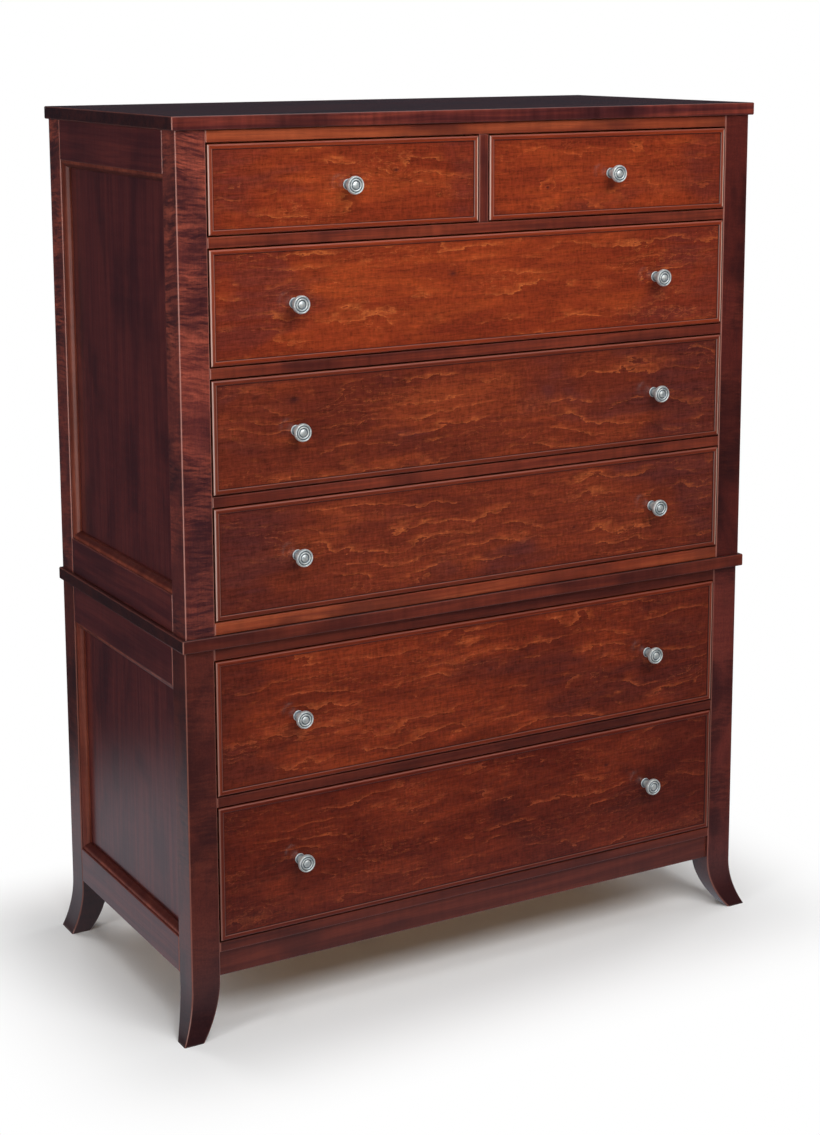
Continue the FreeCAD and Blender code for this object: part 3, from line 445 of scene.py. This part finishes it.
def worn_and_highlit_edges(wood, color, bead, rubbed_and_highlit):
    """Wears the stain off the bead's arrises and paints highlights on them, brightest on the outer left- and
    right-facing roundings and on the upward-facing ones, and darkens the board's end grain.
    """
    to_side, to_top = wood.facing[0], wood.facing[2]
    # Pale worn arrises, laid also as a painted highlight
    arrises = wood.weigh((wood.arris(0, 1), 0.20 * rubbed_and_highlit), (wood.arris(1, 2), 0.08 * rubbed_and_highlit))
    color = wood.glaze(color, RUBBED_AND_HIGHLIT_EDGE, arrises)
    color = wood.glaze(color, END_GRAIN, wood.fade(wood.math("ABSOLUTE", to_side), 0.92, 0.99), 0.75)
    left = wood.math("MULTIPLY", wood.fade(to_side, -0.4, -0.65), wood.fade(to_side, -0.96, -0.84))
    right = wood.math("MULTIPLY", wood.fade(to_side, 0.04, 0.15), wood.fade(to_side, 0.92, 0.70))
    outer = wood.weigh((wood.fade(bead, 0.0022, 0.0042), 0.85), (1.0, 0.15))
    # Painted highlight on the left- and right-facing roundings, brightest at the bead's outer edge
    color = wood.glaze(color, PAINTED_EDGE_HIGHLIGHT, wood.weigh((left, 0.60 * rubbed_and_highlit), (right, 0.85 * rubbed_and_highlit)), outer)
    # Painted highlight on the upward-facing roundings, as if lit from above
    upper = wood.math("MULTIPLY", wood.fade(to_top, 0.3, 0.6), wood.fade(to_top, 0.97, 0.85))
    return wood.glaze(color, RUBBED_AND_HIGHLIT_EDGE, upper, 0.3)


def figured_front(node, seed, board, knot):
    """Dresses a drawer front. The board is its five tones and how strongly its edges are worn pale and
    painted with highlights, and the knot is (x, z, radius) from the front's middle."""
    *tones, rubbed_and_highlit = board
    low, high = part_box(node)
    knot_place = ((low[0] + high[0]) / 2 + knot[0], (low[2] + high[2]) / 2 + knot[1], knot[2])
    wood = Finish(node + "_figure")
    color, roughness, relief = board_figure(wood, seed, low[0], high[0], tones, knot_place)
    color, bead = bead_frame(wood, seed, color, low, high, tones[1], tones[2], rubbed_and_highlit)
    wood.shape(worn_and_highlit_edges(wood, color, bead, rubbed_and_highlit), roughness, relief, PORE_DEPTH)
    wood.seal(LACQUER)
    dress(wood, node)


# Murky, dark, middle, light and streak tones of each board, and how strongly its edges are worn pale and
# painted with highlights. The boards darken from the top drawers to the bottom one, in part as painted shade.
bright_board = (stain(82, 35, 34), stain(112, 39, 19), stain(138, 52, 22), stain(162, 68, 27),
                stain(208, 116, 58), 0.85)
quiet_board = (stain(78, 33, 30), stain(110, 38, 19), stain(136, 51, 22), stain(154, 62, 25),
               stain(180, 90, 42), 0.85)
warm_board = (stain(68, 33, 35), stain(92, 34, 21), stain(114, 44, 23), stain(140, 59, 27),
              stain(190, 100, 50), 0.7)
deep_board = (stain(62, 25, 24), stain(94, 31, 15), stain(120, 43, 18), stain(144, 56, 22),
              stain(184, 94, 45), 0.4)
dark_board = (stain(56, 19, 17), stain(84, 25, 13), stain(102, 33, 14), stain(124, 45, 19),
              stain(168, 82, 39), 0.25)
figured_front("top_left_drawer_front", 101.0, bright_board, (0.09, 0.02, 0.004))
figured_front("top_right_drawer_front", 137.0, quiet_board, (-0.13, -0.02, 0.003))
figured_front("second_drawer_front", 163.0, bright_board, (-0.06, 0.03, 0.007))
figured_front("third_drawer_front", 191.0, warm_board, (-0.36, 0.05, 0.009))
figured_front("fourth_drawer_front", 229.0, warm_board, (0.19, -0.02, 0.003))
figured_front("fifth_drawer_front", 263.0, deep_board, (0.02, 0.02, 0.003))
figured_front("sixth_drawer_front", 307.0, dark_board, (0.27, 0.05, 0.004))

# ---- drawer boxes ----
# Dovetailed boxes of clear maple, sealed but not stained, each with a thin bottom in a groove. The sides'
# tails lie in the ends of the front and are stained with it.

box_wood = long_grain("drawer_box_maple", 97.0, "Y", stain(158, 118, 80), stain(196, 158, 116),
                      stain(218, 186, 146), patchy=0.3, coating=OIL)
facing_out = box_wood.fade(box_wood.math("ABSOLUTE", box_wood.facing[1]), 0.6, 0.9)
box_wood.glaze_last(stain(188, 150, 108), facing_out, 0.65)
STAIN_FADE = 0.004
inner_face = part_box("sixth_drawer_front")[1][1]
box_wood.glaze_last(stain(84, 34, 24), box_wood.fade(box_wood.y, inner_face, inner_face - STAIN_FADE), 0.8)
drawer_names = [name for name in frame["bodies"] if name.endswith("_drawer")]
dress(box_wood, *[name + "_box" for name in drawer_names])

# ---- knobs ----
# Cast pewter knobs turned to a rounded rim, a ring and a low dome with a groove between each, on a waisted
# stem with a small foot. They were darkened and wiped, so grey patina stays in grooves and under the rim.

def bow(first, through, last, steps, dark):
    """Points on the arc through three places (radius, height), with that much patina at its ends and none
    midway."""
    (ax, ay), (bx, by), (cx, cy) = first, through, last
    double_area = 2 * (ax * (by - cy) + bx * (cy - ay) + cx * (ay - by))
    a, b, c = ax * ax + ay * ay, bx * bx + by * by, cx * cx + cy * cy
    middle_x = (a * (by - cy) + b * (cy - ay) + c * (ay - by)) / double_area
    middle_y = (a * (cx - bx) + b * (ax - cx) + c * (bx - ax)) / double_area
    start, halfway, end = (math.atan2(y - middle_y, x - middle_x) for x, y in (first, through, last))
    turn = (end - start) % math.tau
    if (halfway - start) % math.tau > turn:
        turn -= math.tau
    radius = math.hypot(ax - middle_x, ay - middle_y)
    points = []
    for step in range(steps + 1):
        share = step / steps
        angle = start + turn * share
        points.append((middle_x + radius * math.cos(angle), middle_y + radius * math.sin(angle),
                       dark * abs(2 * share - 1) ** 3))
    return points


# From the middle of the back to the middle of the dome: radius and height above the front in millimetres, and
# how much patina stays there
KNOB_PROFILE = [
    (0.0, 0.0, 0.6), *bow((7.9, 0.0), (9.0, 1.1), (8.2, 2.4), 8, 0.7), (7.1, 2.6, 1.0),
    *bow((6.8, 2.9), (6.1, 9.0), (13.0, 20.6), 24, 1.0),
    *bow((13.5, 21.0), (14.97, 24.6), (14.6, 27.6), 12, 0.3),
    *bow((14.5, 27.9), (13.3, 29.6), (11.9, 28.7), 10, 0.4),
    (11.6, 28.1, 1.0), (11.3, 27.8, 1.0), (10.9, 27.8, 1.0), (10.6, 28.1, 1.0),
    *bow((10.4, 28.5), (9.1, 29.4), (7.8, 28.5), 10, 0.7),
    (7.5, 27.9, 1.0), (7.1, 27.6, 1.0), (6.6, 27.6, 1.0), (6.2, 27.9, 1.0),
    *bow((6.0, 28.3), (3.4, 29.483), (0.0, 30.0), 12, 0.2)[:-1], (0.0, 30.0, 0.0)]
MILLIMETRE = 0.001
MERGE_DISTANCE = 0.00001
CREASE = 0.6


def turned_row(name, cross=None):
    """A node tree that turns a profile (X is the radius, Y the height) about Y and repeats it in a row. Cross
    is the (length, width, depth, place in Y) of the recess that a driver fits."""
    tree = bpy.data.node_groups.new(name, "GeometryNodeTree")
    for label, kind in (("Profile", "Geometry"), ("Points", "Int"), ("Sides", "Int"), ("Count", "Int"),
                        ("Start", "Vector"), ("Step", "Vector"), ("Finish", "Material")):
        tree.interface.new_socket(label, in_out="INPUT", socket_type="NodeSocket" + kind)
    tree.interface.new_socket("Row", in_out="OUTPUT", socket_type="NodeSocketGeometry")
    given = tree.nodes.new("NodeGroupInput").outputs

    def add(kind, inputs=(), **settings):
        node = tree.nodes.new(kind)
        for key, value in settings.items():
            setattr(node, key, value)
        for key, value in dict(inputs).items():
            if isinstance(value, bpy.types.NodeSocket):
                tree.links.new(value, node.inputs[key])
            else:
                node.inputs[key].default_value = value
        return node

    def reckon(operation, first, second=0.0):
        """The number that an operation makes of one or two others."""
        return add("ShaderNodeMath", {0: first, 1: second}, operation=operation).outputs[0]

    sheet = add("GeometryNodeMeshGrid", {"Size X": 1.0, "Size Y": 1.0, "Vertices Y": given["Points"],
                                         "Vertices X": reckon("ADD", given["Sides"], 1.0)})
    place = add("ShaderNodeSeparateXYZ", {0: add("GeometryNodeInputPosition").outputs[0]})
    angle = reckon("MULTIPLY", place.outputs["X"], math.tau)
    last_point = reckon("SUBTRACT", given["Points"], 1.0)
    along = reckon("MULTIPLY", reckon("ADD", place.outputs["Y"], 0.5), last_point)
    point = add("FunctionNodeFloatToInt", {0: along}, rounding_mode="ROUND").outputs[0]

    def of_profile(kind, value):
        sample = add("GeometryNodeSampleIndex", {"Geometry": given["Profile"], "Index": point},
                     data_type=kind)
        tree.links.new(value, sample.inputs["Value"])
        return sample.outputs[0]

    outline = add("GeometryNodeInputPosition").outputs[0]
    profile = add("ShaderNodeSeparateXYZ", {0: of_profile("FLOAT_VECTOR", outline)}).outputs
    darkness = add("GeometryNodeInputNamedAttribute", {"Name": "patina"}).outputs["Attribute"]
    patina = of_profile("FLOAT", darkness)
    marked = add("GeometryNodeStoreNamedAttribute", {"Geometry": sheet.outputs["Mesh"], "Name": "patina",
                                                     "Value": patina})
    spun = add("ShaderNodeCombineXYZ", {"X": reckon("MULTIPLY", profile["X"], reckon("COSINE", angle)),
                                        "Y": reckon("MULTIPLY", profile["Y"], -1.0),
                                        "Z": reckon("MULTIPLY", profile["X"], reckon("SINE", angle))})
    solid = add("GeometryNodeSetPosition", {"Geometry": marked.outputs[0], "Position": spun.outputs[0]})
    solid = add("GeometryNodeMergeByDistance", {0: solid.outputs[0], "Distance": MERGE_DISTANCE}).outputs[0]
    if cross:
        length, width, depth, face = cross
        for size in ((length, 2 * depth, width), (width, 2 * depth, length)):
            cutter = add("GeometryNodeMeshCube", {"Size": size}).outputs["Mesh"]
            seat = add("GeometryNodeTransform", {"Geometry": cutter, "Translation": (0.0, face, 0.0)})
            cut = add("GeometryNodeMeshBoolean", {0: solid}, operation="DIFFERENCE", solver="EXACT")
            tree.links.new(seat.outputs[0], cut.inputs[1])
            solid = cut.outputs[0]
    solid = add("GeometryNodeSetShadeSmooth", {0: solid}, domain="FACE").outputs[0]
    if cross:
        bent = reckon("GREATER_THAN", add("GeometryNodeInputMeshEdgeAngle").outputs["Unsigned Angle"], CREASE)
        solid = add("GeometryNodeSetShadeSmooth", {0: solid, 1: bent, 2: False}, domain="EDGE").outputs[0]
    line = add("GeometryNodeMeshLine", {"Count": given["Count"], "Start Location": given["Start"],
                                        "Offset": given["Step"]}, mode="OFFSET")
    row = add("GeometryNodeInstanceOnPoints", {"Points": line.outputs[0], "Instance": solid})
    row = add("GeometryNodeRealizeInstances", {0: row.outputs[0]})
    row = add("GeometryNodeSetMaterial", {"Geometry": row.outputs[0], "Material": given["Finish"]})
    tree.links.new(row.outputs[0], add("NodeGroupOutput").inputs[0])
    return tree


BEAD_DEPTH = 0.0025
KNOB_SPACING = 0.716


def row_of(name, drawer, tree, profile, sides, finish):
    """One plain mesh with the turned pieces of one drawer: two on a wide front, or one in its middle. Height
    0 of the profile lies on the front's field, inside the bead."""
    low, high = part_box(drawer + "_front")
    count = 2 if high[0] - low[0] > KNOB_SPACING else 1
    first = (low[0] + high[0]) / 2 - KNOB_SPACING / 2 * (count - 1)
    start = (first, low[1] + BEAD_DEPTH, (low[2] + high[2]) / 2)

    mesh = bpy.data.meshes.new(name + "_profile")
    corners = [(radius * MILLIMETRE, height * MILLIMETRE, 0.0) for radius, height, _ in profile]
    mesh.from_pydata(corners, [], [])
    patina = mesh.attributes.new("patina", "FLOAT", "POINT")
    patina.data.foreach_set("value", [dark for _, _, dark in profile])
    maker = bpy.data.objects.new(name + "_profile", mesh)
    bpy.context.scene.collection.objects.link(maker)
    modifier = maker.modifiers.new("turned", "NODES")
    modifier.node_group = tree
    values = {"Points": len(profile), "Sides": sides, "Count": count, "Start": start,
              "Step": (KNOB_SPACING, 0.0, 0.0), "Finish": finish}
    for socket in tree.interface.items_tree:
        if socket.name in values:
            modifier[socket.identifier] = values[socket.name]
    evaluated = maker.evaluated_get(bpy.context.evaluated_depsgraph_get())
    piece = bpy.data.objects.new(name, bpy.data.meshes.new_from_object(evaluated))
    bpy.context.scene.collection.objects.link(piece)
    bpy.data.objects.remove(maker)
    return piece


pewter = Finish("aged_pewter")
mottle = pewter.noise((240.0, 240.0, 240.0), 5.0, 3.0, 0.6)
speck = pewter.noise((1400.0, 1400.0, 1400.0), 9.0, 2.0)
recess = pewter.add("ShaderNodeAttribute", attribute_name="patina").outputs["Fac"]
settled = pewter.fade(pewter.weigh((recess, 0.85), (mottle, 0.3)), 0.25, 1.0)
tone = pewter.blend(pewter.fade(mottle, 0.35, 0.7), stain(182, 191, 194), stain(222, 222, 218))
tone = pewter.glaze(tone, stain(72, 84, 94), settled, 0.9)
CAST_SKIN_DEPTH = 0.0002
pewter.shape(tone, pewter.weigh((mottle, 0.14), (settled, 0.15), (1.0, 0.40)),
             pewter.weigh((mottle, 0.6), (speck, 0.4)), CAST_SKIN_DEPTH)
pewter.shader.inputs["Metallic"].default_value = 0.6

KNOB_SIDES = 64
knob_tree = turned_row("knob_row")
knob_pieces = bpy.data.collections.new("knob_pieces")
for name in drawer_names:
    knobs = row_of(name + "_pewter_knobs", name, knob_tree, KNOB_PROFILE, KNOB_SIDES, pewter.material)
    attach(knobs, name)
    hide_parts(name + "_knobs")
    knob_pieces.objects.link(knobs)

# ---- screws ----
# Zinc-plated steel: a pan-head screw with a cross recess through each front into its knob, and the
# countersunk ones that hold the two slabs to the cases.

steel = Finish("zinc_steel")
SCRATCH_DEPTH = 0.0001
scratch = steel.noise((900.0, 900.0, 900.0), 3.0, 2.0)
steel.shape(steel.blend(scratch, stain(150, 150, 146), stain(186, 186, 184)),
            steel.weigh((scratch, 0.2), (1.0, 0.3)), scratch, SCRATCH_DEPTH)
steel.shader.inputs["Metallic"].default_value = 1.0
dress(steel, "slab_screws")

# From the middle of the head, on the front's inner face, along the shank to its tip inside the knob
SCREW_PROFILE = [
    (0.0, -20.0, 0.0), (2.0, -20.0, 0.0), (3.9, -19.8, 0.0), (4.7, -19.3, 0.0), (5.0, -18.4, 0.0),
    (5.0, -17.5, 0.0), (2.0, -17.5, 0.0), (2.0, 9.4, 0.0), (1.6, 10.0, 0.0), (0.0, 10.0, 0.0)]
SCREW_SIDES = 32
CROSS_LENGTH, CROSS_WIDTH, CROSS_DEPTH = 0.0054, 0.0011, 0.0016
head_face = -SCREW_PROFILE[0][1] * MILLIMETRE
screw_tree = turned_row("screw_row", (CROSS_LENGTH, CROSS_WIDTH, CROSS_DEPTH, head_face))
for name in drawer_names:
    screws = row_of(name + "_knob_screws", name, screw_tree, SCREW_PROFILE, SCREW_SIDES, steel.material)
    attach(screws, name)

# ---- studio ----
# A pale floor that turns white away from the chest, and a white surround. Soft lamps light the wood from the
# front, both sides, behind and above. Two low cards and a curtain that glows dimly by its own emission are
# seen only in the lacquer and the metal, and one lamp shines on the knobs alone.

FLOOR_REACH = 30.0
floor_corners = [(x * FLOOR_REACH, y * FLOOR_REACH, 0.0) for x, y in ((-1, -1), (1, -1), (1, 1), (-1, 1))]
floor_mesh = bpy.data.meshes.new("floor")
floor_mesh.from_pydata(floor_corners, [], [(0, 1, 2, 3)])
floor = bpy.data.objects.new("floor", floor_mesh)
bpy.context.scene.collection.objects.link(floor)


def seen_directly(tree):
    """1 for what the camera sees straight, or in a reflection or through glass."""
    path = tree.nodes.new("ShaderNodeLightPath")
    total = path.outputs["Is Camera Ray"]
    for name in ("Is Glossy Ray", "Is Transmission Ray"):
        step = tree.nodes.new("ShaderNodeMath")
        step.operation = "ADD"
        step.use_clamp = True
        tree.links.new(total, step.inputs[0])
        tree.links.new(path.outputs[name], step.inputs[1])
        total = step.outputs[0]
    return total


CHEST_HALF_WIDTH, CHEST_HALF_DEPTH = 0.58, 0.29


def outside_chest(finish, x, y):
    """How far a place on the floor is from the chest's footprint."""
    squares = []
    for place, half in ((x, CHEST_HALF_WIDTH), (y, CHEST_HALF_DEPTH)):
        past = finish.math("SUBTRACT", finish.math("ABSOLUTE", place), half)
        past = finish.math("MAXIMUM", past, 0.0)
        squares.append((finish.math("MULTIPLY", past, past), 1.0))
    return finish.math("SQRT", finish.weigh(*squares))


WHITE = (1.0, 1.0, 1.0, 1.0)
PALE = (0.90, 0.90, 0.90, 1.0)
TURNS_WHITE = 0.30
paper = Finish("pale_floor")
paper.shape(PALE, roughness=0.9, height=0.0, depth=0.001)
paper.shader.inputs["Specular IOR Level"].default_value = 0.0
white = paper.add("ShaderNodeEmission", WHITE, 1.0).outputs[0]
away = paper.fade(outside_chest(paper, paper.x, paper.y), 0.0, TURNS_WHITE)
turn_white = paper.math("MULTIPLY", away, seen_directly(paper.tree))
mixed = paper.add("ShaderNodeMixShader", turn_white, paper.shader.outputs[0], white)
paper.tree.links.new(mixed.outputs[0], paper.tree.nodes["Material Output"].inputs["Surface"])
floor_mesh.materials.append(paper.material)

SURROUND = 0.22
world = bpy.data.worlds.new("surround")
bpy.context.scene.world = world
world.use_nodes = True
sky = world.node_tree
background = sky.nodes["Background"]
strength = sky.nodes.new("ShaderNodeMapRange")
strength.inputs["To Min"].default_value = SURROUND
strength.inputs["To Max"].default_value = 1.0
sky.links.new(seen_directly(sky), strength.inputs["Value"])
sky.links.new(strength.outputs[0], background.inputs["Strength"])
background.inputs["Color"].default_value = WHITE

WALL_RADIUS, WALL_FOOT, WALL_HEIGHT, WALL_SIDES = 4.5, 0.002, 6.0, 64
turns = [math.tau * i / WALL_SIDES for i in range(WALL_SIDES)]
rims = [(WALL_RADIUS * math.cos(turn), WALL_RADIUS * math.sin(turn), height)
        for height in (WALL_FOOT, WALL_HEIGHT) for turn in turns]
folds = [(i, (i + 1) % WALL_SIDES, (i + 1) % WALL_SIDES + WALL_SIDES, i + WALL_SIDES)
         for i in range(WALL_SIDES)]
wall_mesh = bpy.data.meshes.new("dark_room")
wall_mesh.from_pydata(rims, [], [tuple(range(WALL_SIDES)), *folds])
wall = bpy.data.objects.new("dark_room", wall_mesh)
bpy.context.scene.collection.objects.link(wall)

# The curtain lies on the floor too. It is no lit cloth: it glows by its own emission and shows only in
# reflections, as a painted reflection, brighter beside and behind the chest and dim in front
GLOW_X, GLOW_Y = -0.1, 0.28
GLOW_REACH, DARK_REACH = 0.15, 0.85
BRIGHT_GLOW_CLOTH, DIM_GLOW_CLOTH = (0.34, 0.34, 0.38, 1.0), (0.03, 0.03, 0.038, 1.0)
cloth = Finish("dark_room")
from_glow_x = cloth.math("SUBTRACT", cloth.x, GLOW_X)
from_glow_y = cloth.math("SUBTRACT", cloth.y, GLOW_Y)
darkened = cloth.fade(outside_chest(cloth, from_glow_x, from_glow_y), GLOW_REACH, DARK_REACH)
glow = cloth.add("ShaderNodeEmission", cloth.blend(darkened, BRIGHT_GLOW_CLOTH, DIM_GLOW_CLOTH), 1.0)
cloth.tree.links.new(glow.outputs[0], cloth.tree.nodes["Material Output"].inputs["Surface"])
wall_mesh.materials.append(cloth.material)
wall.visible_camera = wall.visible_diffuse = wall.visible_transmission = wall.visible_shadow = False


def softbox(name, place, target, width, height, power, lights=True, shines=True, only_on=None):
    """A rectangular light aimed at a point. It lights the wood, or shines in lacquer and metal, or both."""
    lamp = bpy.data.lights.new(name, "AREA")
    lamp.shape = "RECTANGLE"
    lamp.size, lamp.size_y = width, height
    lamp.energy = power
    holder = bpy.data.objects.new(name, lamp)
    holder.location = place
    holder.rotation_euler = (Vector(target) - Vector(place)).to_track_quat("-Z", "Y").to_euler()
    holder.visible_camera = False
    holder.visible_diffuse = lights
    holder.visible_glossy = shines
    if only_on:
        holder.light_linking.receiver_collection = only_on
    bpy.context.scene.collection.objects.link(holder)


CHEST_MIDDLE = (0.0, 0.0, 0.76)
CARD_HEIGHT = 0.8
softbox("front_light", (0.1, -2.8, 3.3), (0.0, 0.0, 1.3), 2.8, 2.0, 98.0, shines=False)
softbox("knob_light", (-0.4, -2.8, 3.0), (0.0, 0.0, 1.0), 2.8, 2.0, 80.0, lights=False, only_on=knob_pieces)
softbox("left_fill", (-3.4, -1.0, 1.9), CHEST_MIDDLE, 0.8, 1.6, 26.0, shines=False)
softbox("back_fill", (-0.6, 3.2, 2.8), CHEST_MIDDLE, 2.4, 1.6, 60.0, shines=False)
softbox("right_fill", (3.4, 0.6, 2.2), CHEST_MIDDLE, 1.2, 1.6, 24.0, shines=False)
softbox("overhead", (0.4, -0.3, 4.2), CHEST_MIDDLE, 1.8, 0.5, 30.0, shines=False)
softbox("left_card", (-2.3, -1.4, CARD_HEIGHT), (0.0, 0.0, CARD_HEIGHT), 2.2, 1.4, 26.0, lights=False)
softbox("right_card", (2.7, 1.0, CARD_HEIGHT), (0.0, 0.0, CARD_HEIGHT), 1.6, 1.4, 9.0, lights=False)

CAMERA_PLACE = (-1.8589, -3.2542, 1.65)
YAW, PITCH, ROLL = math.radians(29.8175), math.radians(9.8843), math.radians(-0.1785)
LENS_PIXELS, PICTURE_HEIGHT = 2095.04, 1135.0
SHIFT = -0.15
SENSOR = 36.0
lens = bpy.data.cameras.new("camera")
lens.sensor_width = SENSOR
lens.lens = LENS_PIXELS / PICTURE_HEIGHT * SENSOR
lens.shift_y = SHIFT
camera = bpy.data.objects.new("camera", lens)
gaze = Vector((math.sin(YAW) * math.cos(PITCH), math.cos(YAW) * math.cos(PITCH), -math.sin(PITCH)))
camera.location = CAMERA_PLACE
camera.rotation_euler = (gaze.to_track_quat("-Z", "Y") @ Quaternion((0.0, 0.0, 1.0), ROLL)).to_euler()
bpy.context.scene.collection.objects.link(camera)
bpy.context.scene.camera = camera
bpy.context.scene.view_settings.view_transform = "Standard"

bpy.context.view_layer.update()
